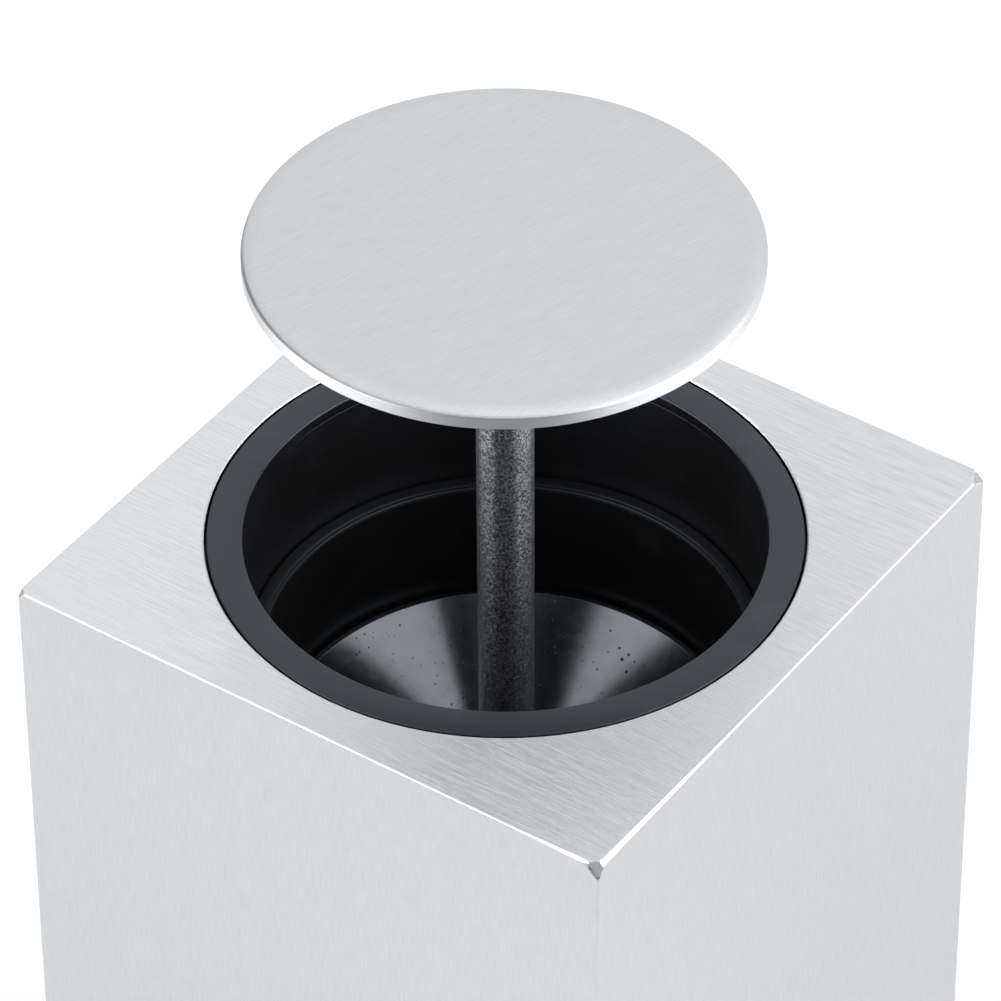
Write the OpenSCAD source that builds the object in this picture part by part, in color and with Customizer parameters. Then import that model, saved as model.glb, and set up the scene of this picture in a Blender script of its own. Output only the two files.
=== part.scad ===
// Press-to-open toothpick dispenser: a square metal box whose round lid rides on a sprung lifter.
// Millimetres, +Z up. The origin is the centre of the resting face, and the lid is drawn raised.

/* [Box] */
// side of the square box in plan
box_w = 70; // [69:0.5:84]
// height of the top face above the table
box_h = 105; // [104:0.5:125]
// thickness of the box walls and of its top
wall_t = 2; // [1.6:0.1:2.2]
// chamfer around the top face
edge_c = 0.3; // [0.3:0.1:1.5]
// chamfer down the four upright edges
upright_c = 0.2; // [0.2:0.1:1.5]
// break of the four top corners, along each edge
corner_c = 1; // [0.5:0.1:3]

/* [Lid] */
// diameter of the lid disc
lid_d = 51; // [48:0.5:52]
// thickness of the lid disc
lid_t = 2.5; // [2:0.1:3]
// radius of the lid's upper edge
lid_edge = 0.85; // [0.3:0.05:1.2]
// height of the raised lid's top over the box top
lift = 37.4; // [32:0.2:40]
// extra travel below flush that works the latch
over_press = 2.6; // [2.2:0.1:2.8]
// diameter of the rod
rod_d = 5.8; // [5.4:0.1:7]

/* [Ring] */
// gap between the lid and the ring when the lid is down
lid_gap = 0.95; // [0.5:0.05:1.2]
// width of the flat black ring
ring_w = 3.65; // [3:0.05:3.8]
// gap between the ring and the hole in the box top
ring_gap = 0.25; // [0.1:0.05:0.4]
// depth of the tube's top ledge below the box top
step_depth = 15.2; // [12:0.2:20]

/* [Lifter] */
// length of the picks that the dispenser holds
pick_l = 65; // [60:0.5:66]
// spare height over the picks when the lid is down
pick_gap = 1.2; // [0.8:0.1:2]
// depth of the picks' feet below the rim of the cup
pick_foot = 2.3; // [1.5:0.1:3]
// slope of the cup's conical floor, in degrees
cup_slope = 44; // [35:1:44]
// running gap between the cup and its tube
cup_gap = 0.3; // [0.3:0.05:0.5]

/* [Spring] */
// wire diameter of the lift spring
wire_d = 1.4; // [1:0.1:1.5]
// number of turns of the lift spring
turns = 10; // [8:1:11]

/* [Latch] */
// length of the follower arm from pivot to peg
arm_l = 10; // [9.5:0.1:11]
// side swing of the peg to either lane of the track
peg_swing = 2.67; // [2.6:0.01:2.8]
// diameter of the follower's peg
peg_d = 1.4; // [1.2:0.05:1.45]
// direction of the corner that holds the latch
latch_az = -45; // [-135:90:135]

/* [Hidden] */
$fn = 96;
slip = 0.05;
seat = 0.1;
over = 1;

// plan of the box
half_in = box_w / 2 - wall_t;
skirt_z = 1;
foot_h = 2;
foot_d = 9;
foot_sink = 0.5;
foot_edge = 0.5;
foot_inset = 13;
base_z = foot_h - foot_sink;
base_t = 3;
base_top = base_z + base_t;
base_gap = 0.3;
base_ring_h = 2;
base_ring_t = 2;
base_ring_gap = 0.2;
post_w = 5.6;
post_h = 14;
post_at = half_in - post_w / 2;

// rings from the lid outward
lid_r = lid_d / 2;
open_r = lid_r + lid_gap;
ring_r = open_r + ring_w;
hole_r = ring_r + ring_gap;
hole_c = 0.15;
ring_c = 0.15;
ring_sink = 0.1;
lip_t = 1.4;
lip_w = 0.1;
sleeve_t = 1.8;
sleeve_ri = open_r + lip_w;
sleeve_ro = sleeve_ri + sleeve_t;
flange_w = 2.2;
flange_t = 2;
flange_gap = 0.2;
flange_r = min(ring_r + flange_w, half_in - flange_gap);

// tube and cup
nest = 3;
nest_gap = 0.2;
neck_r = sleeve_ri - nest_gap;
bore_set = 1.85;
bore_c = 0.15;
bore_c_h = 0.7;
ledge_fall = 0.3;
bore_r = open_r - bore_set;
tube_t = 1.7;
wide_r = sleeve_ro - tube_t;
cup_r = bore_r - cup_gap;
stop_gap = 0.4;
stop_r = wide_r - stop_gap;
skirt_t = 1.7;
skirt_ri = cup_r - skirt_t;

// heights, with the lid raised
lid_top = box_h + lift;
lid_z = lid_top - lid_t;
rim_z = lid_z - pick_l - pick_gap + pick_foot;
step_z = box_h - step_depth;
ledge_z = step_z - ledge_fall;
sleeve_z = step_z - nest;
rim_w = 0.8;
rim_c = 0.3;
floor_r = 6;
floor_t = 2.2;
floor_z = rim_z - (cup_r - rim_w - floor_r) * tan(cup_slope);
shell_t = floor_t / cos(cup_slope);
socket = 1.5;
rod_z = floor_z - socket;
hub_t = 2;
hub_z = rod_z - hub_t;
hub_r = 7.2;
stop_drop = 9.7;
stop_z = rim_z - stop_drop;
stop_t = 3.2;

// fasteners
stud_d = 4;
stud_l = 9;
stud_in = 1.4;
screw_d = 4;
screw_l = 12;
screw_gap = 0.15;
screw_head_d = 7;
screw_head_h = 2.2;
screw_head_c = 0.5;
screw_slot_w = 1;
screw_slot_l = 4;
screw_slot_h = 1.2;
washer_d = 10;
washer_t = 0.8;
base_screw_d = 2.5;
base_screw_l = 13;
base_head_d = 4.6;
base_head_h = 1.3;
base_slot_w = 0.7;
base_slot_l = 2.8;
cam_screw_d = 2;
cam_screw_tip = 0.5;
cam_screw_space = 6;
cam_head_d = 3.4;
cam_head_h = 0.9;

// spring between the base and the cup
wire_r = wire_d / 2;
spring_gap = 1.5;
spring_r = skirt_ri - spring_gap - wire_r;
spring_seat = 0.4;
spring_seat_z = rim_z - shell_t - (cup_r - rim_w - spring_r + wire_r + spring_seat) * tan(cup_slope);
spring_ring_gap = 0.5;
spring_ring_t = 1.5;
dead_gap = 0.5;
dead_pitch = wire_d + dead_gap;
spring_lo = base_top + wire_r + slip;
spring_hi = spring_seat_z - wire_r - slip;
live_pitch = (spring_hi - spring_lo - 2 * dead_pitch) / (turns - 2);
steps_per_turn = 36;
wire_sides = 8;

// latch, inward from the post in its corner; heights on its track are counted from the caught peg
post_gap = 0.3;
ear_t = 1.6;
ear_gap = 0.5;
arm_t = 1.2;
arm_gap = 0.9;
plate_t = 3;
ear_r = (half_in - post_w) * sqrt(2) - post_gap - ear_t;
arm_r = ear_r - ear_gap - arm_t;
plate_r = arm_r - arm_gap - plate_t;
plate_w = 13;
plate_edge = 2;
plate_gap = 0.4;
tongue_w = 10;
track_depth = 2;
track_w = 8.4;
track_flare = 1;
track_room = 0.9;
track_lo = -7;
track_hi = over_press + peg_d / 2 + track_room;
track_root = 0.4;
heart_w = 3.2;
ramp_w = 2;
ramp_h = 0.8;
arm_w = 3;
boss_r = 2.2;
boss_gap = 0.2;
ear_lo = -6;
ear_hi = 4.6;
ear_h = 5.6;
pin_d = 2;
pin_out = 0.7;
clip_d = 3.6;
clip_t = 0.4;
clip_gap = 0.15;
rest_from = 2.6;
rest_to = 5.5;
exit_from = 3;
lean = asin(2 * peg_swing / arm_l);
pivot_z = base_top + boss_r + boss_gap;
pivot_y = -peg_swing;
peg_z = pivot_z + arm_l * cos(asin(peg_swing / arm_l));
peg_gap = 1;
tongue_z = stop_z - stop_t;
plate_top = stop_z + plate_edge;

// colours
metal = [0.82, 0.82, 0.83];
black = [0.10, 0.10, 0.11];
steel = [0.62, 0.63, 0.65];

// places its children at the four corners of a square
module corners(at) {
  for (sx = [-1, 1], sy = [-1, 1])
    translate([sx * at, sy * at, 0]) children();
}

// turns a latch piece drawn along +X into its corner
module in_corner() {
  rotate([0, 0, latch_az]) children();
}

// puts a piece that runs outward at the follower's pivot
module at_pivot() {
  in_corner() translate([0, pivot_y, pivot_z]) children();
}

// stands an outline of width and height up as a slab that runs outward from radius r
module slab(r, t) {
  translate([r, 0, 0]) rotate([90, 0, 90]) linear_extrude(t) children();
}

// round bar that runs outward from radius r
module bar(r, len, d) {
  translate([r, 0, 0]) rotate([0, 90, 0]) cylinder(d = d, h = len);
}

// puts its children at the two screws of the track plate
module at_cam_screws() {
  for (s = [-1, 1])
    translate([0, s * cam_screw_space / 2, stop_z - stop_t / 2]) children();
}

// side view of the box with the chamfer of its top edges
module box_side() {
  w = box_w / 2;
  polygon([[-w, skirt_z], [w, skirt_z], [w, box_h - edge_c], [w - edge_c, box_h],
           [edge_c - w, box_h], [-w, box_h - edge_c]]);
}

// plan of the box with the chamfer of its upright edges
module box_plan() {
  w = box_w / 2;
  k = w - upright_c;
  polygon([[-k, -w], [k, -w], [w, -k], [w, k], [k, w], [-k, w], [-w, k], [-w, -k]]);
}

// square metal box, open below, with the ring's hole in its top; a pyramid breaks the top corners
module housing() {
  apex = box_w + box_h - corner_c;
  color(metal)
  difference() {
    intersection() {
      translate([0, 0, skirt_z]) linear_extrude(box_h) box_plan();
      translate([0, box_w, 0]) rotate([90, 0, 0]) linear_extrude(2 * box_w) box_side();
      translate([-box_w, 0, 0]) rotate([90, 0, 90]) linear_extrude(2 * box_w) box_side();
      cylinder(r1 = apex, r2 = 0, h = apex, $fn = 4);
    }
    translate([-half_in, -half_in, skirt_z - over])
      cube([2 * half_in, 2 * half_in, box_h - wall_t - skirt_z + over]);
    cylinder(r = hole_r, h = box_h + over);
    translate([0, 0, box_h - hole_c]) cylinder(r1 = hole_r, r2 = hole_r + 2 * hole_c, h = 2 * hole_c);
  }
}

// black ring, flush with the box top, on a sleeve that drops inside
module collar() {
  top = box_h - ring_sink;
  under = box_h - wall_t - slip;
  color(black)
  rotate_extrude()
    polygon([[sleeve_ri, sleeve_z], [sleeve_ro, sleeve_z], [sleeve_ro, under - flange_t],
             [flange_r, under - flange_t], [flange_r, under], [ring_r, under], [ring_r, top],
             [open_r + ring_c, top], [open_r, top - ring_c], [open_r, box_h - lip_t],
             [sleeve_ri, box_h - lip_t]]);
}

// tube that guides the cup, with a falling ledge on top; its wider lower bore ends in the shoulder that
// stops the cup
module magazine_tube() {
  shoulder = stop_z + seat;
  color(black)
  difference() {
    rotate_extrude()
      polygon([[bore_r + bore_c, ledge_z], [neck_r, step_z], [neck_r, sleeve_z - slip],
               [sleeve_ro, sleeve_z - slip], [sleeve_ro, base_top], [wide_r, base_top], [wide_r, shoulder],
               [bore_r, shoulder], [bore_r, ledge_z - bore_c_h]]);
    in_corner()
      translate([skirt_ri, -plate_w / 2 - plate_gap, base_top - over])
        cube([sleeve_ro - skirt_ri + over, plate_w + 2 * plate_gap, plate_top + plate_gap - base_top + over]);
  }
}

// block on which the follower leans: its sloped face lies along the leaning arm
module entry_stop() {
  along = [sin(lean), cos(lean)];
  off = (arm_w / 2 + seat) * [cos(lean), -sin(lean)];
  low = [pivot_y, pivot_z] + rest_from * along + off;
  high = [pivot_y, pivot_z] + rest_to * along + off;
  polygon([low, high, [ear_hi, high[1]], [ear_hi, base_top - over], [low[0], base_top - over]]);
}

// block that ends the swing before the arm stands upright
module exit_stop() {
  edge = pivot_y - arm_w / 2 - seat;
  low = pivot_z + exit_from;
  high = pivot_z + ear_h;
  polygon([[edge, low], [edge, high], [ear_lo, high], [ear_lo, low]]);
}

// upright ring on the base, of outer radius r
module base_ring(r, t) {
  translate([0, 0, base_top - over])
    difference() {
      cylinder(r = r, h = base_ring_h + over);
      translate([0, 0, -over]) cylinder(r = r - t, h = base_ring_h + 3 * over);
    }
}

// cover of the open bottom, with rings for tube and spring and the ear of the latch
module base_plate() {
  side = half_in - base_gap;
  color(black)
  difference() {
    union() {
      translate([-side, -side, base_z]) cube([2 * side, 2 * side, base_t]);
      base_ring(wide_r - base_ring_gap, base_ring_t);
      base_ring(spring_r - wire_r - spring_ring_gap, spring_ring_t);
      in_corner() {
        translate([ear_r, ear_lo, base_top - over])
          cube([ear_t, ear_hi - ear_lo, pivot_z + ear_h - base_top + over]);
        slab(arm_r, ear_r - arm_r + over) entry_stop();
        slab(arm_r, ear_r - arm_r + over) exit_stop();
      }
    }
    corners(post_at) {
      translate([0, 0, base_z - over]) cylinder(d = base_screw_d + 2 * screw_gap, h = base_t + 2 * over);
      translate([0, 0, base_z])
        cylinder(d1 = base_head_d + 2 * screw_gap, d2 = base_screw_d + 2 * screw_gap, h = base_head_h);
    }
    corners(box_w / 2 - foot_inset)
      translate([0, 0, base_z - over]) cylinder(d = foot_d + 2 * seat, h = foot_sink + over);
    at_pivot() bar(ear_r - over, ear_t + 2 * over, pin_d + 2 * slip);
  }
}

// blocks fixed in the four corners of the box, drilled for the base screws
module corner_posts() {
  color(metal)
  corners(post_at)
    difference() {
      translate([-post_w / 2, -post_w / 2, base_top]) cube([post_w, post_w, post_h]);
      translate([0, 0, base_top - over]) cylinder(d = base_screw_d + 2 * slip, h = base_screw_l + over);
    }
}

// countersunk screws with a cross slot
module base_screws() {
  color(steel)
  corners(post_at)
    difference() {
      translate([0, 0, base_z])
        union() {
          cylinder(d1 = base_head_d, d2 = base_screw_d, h = base_head_h);
          cylinder(d = base_screw_d, h = base_screw_l);
        }
      for (turn = [0, 90])
        rotate([0, 0, turn])
          translate([-base_slot_l / 2, -base_slot_w / 2, base_z - over])
            cube([base_slot_l, base_slot_w, over + base_slot_w]);
    }
}

// soft feet in shallow pockets under the base
module rubber_feet() {
  color(black)
  corners(box_w / 2 - foot_inset)
    union() {
      cylinder(d1 = foot_d - 2 * foot_edge, d2 = foot_d, h = foot_edge);
      translate([0, 0, foot_edge]) cylinder(d = foot_d, h = foot_h - foot_edge - slip);
    }
}

// height of the spring's centre line after t turns: close end turns and open turns between
function coil_z(t) = spring_lo + dead_pitch * min(t, 1) + live_pitch * max(0, min(t, turns - 1) - 1)
                     + dead_pitch * max(0, t - turns + 1);
function coil_at(t) = [spring_r * cos(360 * t), spring_r * sin(360 * t), coil_z(t)];
coil = [for (i = [0 : turns * steps_per_turn]) coil_at(i / steps_per_turn)];
coil_gap = min([for (i = [0 : len(coil) - 1 - steps_per_turn])
                  for (j = [-2 : 2])
                    let (k = min(i + steps_per_turn + j, len(coil) - 1)) norm(coil[k] - coil[i])]) - wire_d;
echo(least_gap_between_turns = coil_gap);

// lift spring: one wire, swept along its helix with a ring of points at each step
module lift_spring() {
  rings = len(coil);
  skin = [for (i = [0 : rings - 1], s = [0 : wire_sides - 1])
            let (t = i / steps_per_turn, a = 360 * s / wire_sides, out = spring_r + wire_r * cos(a))
              [out * cos(360 * t), out * sin(360 * t), coil[i][2] + wire_r * sin(a)]];
  walls = [for (i = [0 : rings - 2], s = [0 : wire_sides - 1])
             let (n = (s + 1) % wire_sides, p = i * wire_sides, q = p + wire_sides)
               each [[p + s, p + n, q + n], [p + s, q + n, q + s]]];
  first = [for (s = [1 : wire_sides - 2]) [0, s + 1, s]];
  tail = (rings - 1) * wire_sides;
  last = [for (s = [1 : wire_sides - 2]) [tail, tail + s, tail + s + 1]];
  color(steel) polyhedron(skin, concat(walls, first, last));
}

// pin on which the follower swings, fixed in the ear of the base
module pivot_pin() {
  color(steel) at_pivot() bar(arm_r - pin_out, ear_r + ear_t - arm_r + pin_out, pin_d);
}

// clip that keeps the follower on its pin
module pivot_clip() {
  color(steel)
  at_pivot()
    difference() {
      bar(arm_r - clip_gap - clip_t, clip_t, clip_d);
      bar(arm_r - clip_gap - clip_t - over, clip_t + 2 * over, pin_d + 2 * slip);
    }
}

// flat follower, leaning on the stop beside the track's entry lane
module latch_arm() {
  color(steel)
  at_pivot()
    rotate([-lean, 0, 0])
      difference() {
        union() {
          bar(arm_r, arm_t, 2 * boss_r);
          translate([0, 0, arm_l]) bar(arm_r, arm_t, arm_w);
          translate([arm_r, -arm_w / 2, 0]) cube([arm_t, arm_w, arm_l]);
        }
        bar(arm_r - over, arm_t + 2 * over, pin_d + 2 * slip);
        translate([0, 0, arm_l]) bar(arm_r - over, arm_t + 2 * over, peg_d + 2 * slip);
      }
}

// peg of the follower that runs in the track
module latch_peg() {
  tip = plate_r + plate_t - track_depth + peg_gap;
  color(steel)
  at_pivot() rotate([-lean, 0, 0]) translate([0, 0, arm_l]) bar(tip, arm_r + arm_t - tip, peg_d);
}

// lid with a rounded upper edge and a blind hole for its stud
module lid_disc() {
  color(metal)
  translate([0, 0, lid_z])
    difference() {
      rotate_extrude()
        union() {
          square([lid_r - lid_edge, lid_t]);
          square([lid_r, lid_t - lid_edge]);
          translate([lid_r - lid_edge, lid_t - lid_edge]) circle(r = lid_edge);
        }
      translate([0, 0, -over]) cylinder(d = stud_d + 2 * slip, h = stud_in + slip + over);
    }
}

// stud between lid and rod
module lid_stud() {
  color(steel) translate([0, 0, lid_z - stud_l]) cylinder(d = stud_d, h = stud_l + stud_in);
}

// rod from the lid down into the cup, drilled at both ends
module rod() {
  color(black)
  difference() {
    translate([0, 0, rod_z]) cylinder(d = rod_d, h = lid_z - rod_z);
    translate([0, 0, lid_z - stud_l - slip]) cylinder(d = stud_d + 2 * slip, h = stud_l + over);
    translate([0, 0, rod_z - over]) cylinder(d = screw_d + 2 * slip, h = screw_l + over);
  }
}

// cup with a conical floor, a guiding skirt, a stop flange and the tongue that carries the track
module lifter() {
  rim_r = cup_r - rim_w;
  seat_r = rim_r - (rim_z - shell_t - spring_seat_z) / tan(cup_slope);
  hub_top = rim_z - shell_t - (rim_r - hub_r) * tan(cup_slope);
  color(black)
  difference() {
    union() {
      rotate_extrude()
        polygon([[rod_d / 2 + slip, floor_z], [floor_r, floor_z], [rim_r, rim_z], [cup_r - rim_c, rim_z],
                 [cup_r, rim_z - rim_c], [cup_r, stop_z], [stop_r, stop_z], [stop_r, tongue_z],
                 [skirt_ri, tongue_z], [skirt_ri, spring_seat_z], [seat_r, spring_seat_z],
                 [hub_r, hub_top], [hub_r, hub_z], [screw_d / 2 + screw_gap, hub_z],
                 [screw_d / 2 + screw_gap, rod_z], [rod_d / 2 + slip, rod_z]]);
      in_corner()
        translate([cup_r - over, -tongue_w / 2, tongue_z])
          cube([plate_r - cup_r + 2 * over, tongue_w, stop_t]);
    }
    in_corner() {
      translate([plate_r, -plate_w / 2 - plate_gap, tongue_z - over])
        cube([stop_r, plate_w + 2 * plate_gap, stop_t + 2 * over]);
      at_cam_screws() bar(skirt_ri + cam_screw_tip - slip, plate_r - skirt_ri, cam_screw_d + 2 * slip);
    }
  }
}

// washer under the hub of the cup
module lifter_washer() {
  color(steel)
  translate([0, 0, hub_z - washer_t])
    difference() {
      cylinder(d = washer_d, h = washer_t);
      translate([0, 0, -over]) cylinder(d = screw_d + 2 * screw_gap, h = washer_t + 2 * over);
    }
}

// screw from below that draws the cup onto the rod
module lifter_screw() {
  head_z = hub_z - washer_t - screw_head_h;
  color(steel)
  difference() {
    union() {
      translate([0, 0, head_z])
        cylinder(d1 = screw_head_d - 2 * screw_head_c, d2 = screw_head_d, h = screw_head_c);
      translate([0, 0, head_z + screw_head_c]) cylinder(d = screw_head_d, h = screw_head_h - screw_head_c);
      translate([0, 0, head_z + screw_head_c]) cylinder(d = screw_d, h = screw_l);
    }
    for (turn = [0, 90])
      rotate([0, 0, turn])
        translate([-screw_slot_l / 2, -screw_slot_w / 2, head_z - over])
          cube([screw_slot_l, screw_slot_w, over + screw_slot_h]);
  }
}

// outline of the track: a flared mouth below and both lanes above it
module track_outline() {
  lane = track_w / 2;
  flare = lane + track_flare;
  neck = track_lo + 2.5 * track_flare;
  polygon([[-flare, track_lo - over], [flare, track_lo - over], [lane, neck], [lane, track_hi],
           [-lane, track_hi], [-lane, neck]]);
}

// heart between the lanes; the notch on top holds the peg while the lid is down
module heart_outline() {
  side = heart_w / 2;
  polygon([[1.15, 0.2], [0, -1.05], [-1.1, -0.35], [-side, -1.1], [-side, -2.4], [-0.4, -4.4],
           [side, -2.4], [side, -0.6]]);
}

// ramp in one lane that keeps the peg from running back: level at z0 and full height at z1
module lane_ramp(y, z0, z1, floor_x) {
  translate([floor_x, y, 0])
    rotate([90, 0, 0])
      translate([0, 0, -ramp_w / 2])
        linear_extrude(ramp_w)
          polygon([[-track_root, z0], [0, z0], [ramp_h, z1], [-track_root, z1]]);
}

// plate with the latch track in its outer face, screwed to the tongue of the cup
module cam_plate() {
  floor_x = plate_r + plate_t - track_depth;
  lane = (track_w + heart_w) / 4;
  color(black)
  in_corner()
    translate([0, 0, peg_z + lift])
      difference() {
        union() {
          difference() {
            slab(plate_r, plate_t)
              translate([-plate_w / 2, track_lo]) square([plate_w, plate_top - peg_z - lift - track_lo]);
            slab(floor_x, track_depth + over) track_outline();
          }
          slab(floor_x - track_root, track_depth + track_root) heart_outline();
          lane_ramp(lane, -2.6, -0.8, floor_x);
          lane_ramp(-lane, -1, -2.8, floor_x);
        }
        translate([0, 0, -peg_z - lift])
          at_cam_screws() bar(plate_r - over, plate_t + 2 * over, cam_screw_d + 2 * screw_gap);
      }
}

// screws that hold the plate to the tongue
module cam_screws() {
  color(steel)
  in_corner()
    at_cam_screws()
      union() {
        bar(plate_r + plate_t, cam_head_h, cam_head_d);
        bar(skirt_ri + cam_screw_tip, plate_r + plate_t - skirt_ri, cam_screw_d);
      }
}

housing();
collar();
magazine_tube();
base_plate();
corner_posts();
base_screws();
rubber_feet();
lift_spring();
pivot_pin();
pivot_clip();
latch_arm();
latch_peg();
lid_disc();
lid_stud();
rod();
lifter();
lifter_washer();
lifter_screw();
cam_plate();
cam_screws();
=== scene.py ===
# %% [markdown]
# # A press-to-open toothpick dispenser
# The real thing is a square box of brushed aluminium with a black ring let into its top. A metal lid on
# a black rod stands over the ring, and a black cup at the foot of the rod carries the picks. The solids
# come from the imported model, so this lesson only dresses them: finer surfaces where the eye rests, and a
# finish on every piece.

import bpy
import numpy as np
from mathutils import Matrix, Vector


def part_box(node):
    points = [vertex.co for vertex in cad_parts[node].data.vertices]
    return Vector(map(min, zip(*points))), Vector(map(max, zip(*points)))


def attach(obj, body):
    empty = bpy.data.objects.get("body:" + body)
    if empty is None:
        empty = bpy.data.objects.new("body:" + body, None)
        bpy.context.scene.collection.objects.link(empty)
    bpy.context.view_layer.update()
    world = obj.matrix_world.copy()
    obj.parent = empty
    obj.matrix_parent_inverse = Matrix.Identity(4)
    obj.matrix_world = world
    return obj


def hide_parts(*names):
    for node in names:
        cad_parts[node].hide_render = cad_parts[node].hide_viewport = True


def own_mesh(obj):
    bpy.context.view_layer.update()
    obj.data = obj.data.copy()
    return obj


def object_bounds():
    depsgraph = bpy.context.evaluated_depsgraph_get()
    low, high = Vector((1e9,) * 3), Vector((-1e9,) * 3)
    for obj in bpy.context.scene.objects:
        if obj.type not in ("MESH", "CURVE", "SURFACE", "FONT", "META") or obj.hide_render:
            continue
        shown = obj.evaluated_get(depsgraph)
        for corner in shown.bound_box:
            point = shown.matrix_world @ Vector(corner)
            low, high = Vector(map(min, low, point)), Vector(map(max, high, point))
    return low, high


mm = 0.001
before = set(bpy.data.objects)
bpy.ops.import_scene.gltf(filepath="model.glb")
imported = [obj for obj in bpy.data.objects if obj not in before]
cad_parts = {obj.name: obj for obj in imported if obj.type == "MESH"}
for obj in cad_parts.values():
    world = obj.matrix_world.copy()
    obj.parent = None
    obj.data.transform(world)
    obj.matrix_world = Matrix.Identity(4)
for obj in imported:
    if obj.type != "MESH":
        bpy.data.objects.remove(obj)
cad_box = [list(corner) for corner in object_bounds()]
cad_box_mm = [[round(x / mm, 1) for x in corner] for corner in cad_box]
print("solids:", len(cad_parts), "box in mm:", cad_box_mm)

# %% [markdown]
# ## Surfaces from grids
# Every new piece is a grid of points: one parameter runs round the piece, the other along its outline.
# A grid is easy to check, because each array has the same shape as the surface. It closes on itself
# where a parameter is an angle, and shrinks to a single point where an outline meets the axis.


# %% Grid to mesh
def grid_faces(rows, cols, wrap_rows, wrap_cols):
    """Quads of a grid of rows x cols points. Each joins a point, the next in its row, and the two beside
    them in the next row. The last row or column joins the first where that way round is closed."""
    r = np.arange(rows if wrap_rows else rows - 1)
    c = np.arange(cols if wrap_cols else cols - 1)
    r, c = (x.ravel() for x in np.meshgrid(r, c, indexing="ij"))
    r2, c2 = (r + 1) % rows, (c + 1) % cols
    return np.stack([r * cols + c, r * cols + c2, r2 * cols + c2, r2 * cols + c], -1)


def make_piece(name, points, faces, body, node, slot, sharp=50):
    """Mesh object from an array of points and rows of faces. It rides on a body in place of a node, and is
    smooth, with edges over the sharp angle kept crisp."""
    mesh = bpy.data.meshes.new(name)
    mesh.from_pydata(points.tolist(), [], [list(f) for f in faces])
    mesh.polygons.foreach_set("use_smooth", np.ones(len(mesh.polygons), bool))
    mesh.set_sharp_from_angle(angle=np.radians(sharp))
    mesh.update()
    piece = bpy.data.objects.new(name, mesh)
    bpy.context.scene.collection.objects.link(piece)
    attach(piece, body)
    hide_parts(node)
    print(name, "has", len(mesh.polygons), "faces and rides on", body)
    return piece


print("a grid of 3 x 4 points, closed one way, has", len(grid_faces(3, 4, False, True)), "faces")

# %% [markdown]
# ## Outlines with small fillets
# Real edges are never perfectly sharp: a moulded or turned edge has a small radius, and that radius
# catches a thin line of light. So each outline is a short list of corners, and every corner gets its own
# fillet before the outline is turned round the axis.


# %% Fillets and turning
def filleted(corners, radii, closed, steps=6):
    """Outline with each corner replaced by an arc. The arc's centre lies on the corner's bisector, one
    radius from both sides, and its points run from one tangent point to the other by the shorter turn."""
    p = np.asarray(corners, float)
    r = np.broadcast_to(np.asarray(radii, float), len(p))
    to_last = np.roll(p, 1, 0) - p
    to_next = np.roll(p, -1, 0) - p
    to_last /= np.linalg.norm(to_last, axis=1, keepdims=True)
    to_next /= np.linalg.norm(to_next, axis=1, keepdims=True)
    half_angle = 0.5 * np.arccos(np.clip((to_last * to_next).sum(1), -1, 1))
    bisector = to_last + to_next
    bisector /= np.maximum(np.linalg.norm(bisector, axis=1, keepdims=True), 1e-12)
    centre = p + bisector * (r / np.sin(half_angle))[:, None]
    tangent = (r / np.tan(half_angle))[:, None]
    first, last = p + to_last * tangent - centre, p + to_next * tangent - centre
    a0, a1 = np.arctan2(first[:, 1], first[:, 0]), np.arctan2(last[:, 1], last[:, 0])
    turn = (a1 - a0 + np.pi) % (2 * np.pi) - np.pi
    a = a0[:, None] + turn[:, None] * np.linspace(0, 1, steps)
    arc = centre[:, None] + r[:, None, None] * np.stack([np.cos(a), np.sin(a)], -1)
    if closed:
        return arc.reshape(-1, 2)
    return np.concatenate([p[:1], arc[1:-1].reshape(-1, 2), p[-1:]])


def turned(outline, steps=288):
    """Closed outline of (radius, height) carried once round the Z axis: a point is (r cos a, r sin a, z)."""
    a = np.linspace(0, 2 * np.pi, steps, endpoint=False)
    r, z = outline[:, :1], outline[:, 1:]
    points = np.stack([r * np.cos(a), r * np.sin(a), np.broadcast_to(z, (len(outline), steps))], -1)
    return points.reshape(-1, 3), grid_faces(len(outline), steps, True, True)


def turned_solid(outline, steps=288):
    """Open outline that starts and ends on the Z axis, carried round it. Its two end points are single
    poles, which fans of triangles join to the first and last ring."""
    points, faces = turned(outline[1:-1], steps)
    rings = len(outline) - 2
    faces = faces[: (rings - 1) * steps]
    k = np.arange(steps)
    n = (k + 1) % steps
    poles = np.array([[0, 0, outline[0, 1]], [0, 0, outline[-1, 1]]])
    start, end = len(points), len(points) + 1
    fan_a = np.stack([np.full(steps, start), n, k], -1)
    fan_b = np.stack([np.full(steps, end), (rings - 1) * steps + k, (rings - 1) * steps + n], -1)
    return np.concatenate([points, poles]), [*faces.tolist(), *fan_a.tolist(), *fan_b.tolist()]


print("outline of 4 corners with fillets:", filleted([[1, 0], [2, 0], [2, 1], [1, 1]], 0.1, True).shape)

# %% [markdown]
# ## Materials: one way to add a node
# A finish is a small graph. One helper adds a node, sets what is constant and links what varies, so the
# graph reads from top to bottom. Colours are written as sRGB hex, as a paint card gives them, and turned
# to linear light once.


# %% Colour and node helpers
def linear(hex_colour, share=1.0):
    """sRGB hex to linear RGBA, times a share: each channel is divided by 12.92 near black, and follows the
    2.4 power above."""
    c = np.array([int(hex_colour[i : i + 2], 16) for i in (1, 3, 5)]) / 255
    c = np.where(c <= 0.04045, c / 12.92, ((c + 0.055) / 1.055) ** 2.4)
    return (*(share * c).tolist(), 1.0)


def fill(tree, node, sockets):
    """Each socket of a node gets a constant, or a link if the value is another socket."""
    for key, value in sockets.items():
        if isinstance(value, bpy.types.NodeSocket):
            tree.links.new(value, node.inputs[key])
        else:
            node.inputs[key].default_value = value


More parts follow.
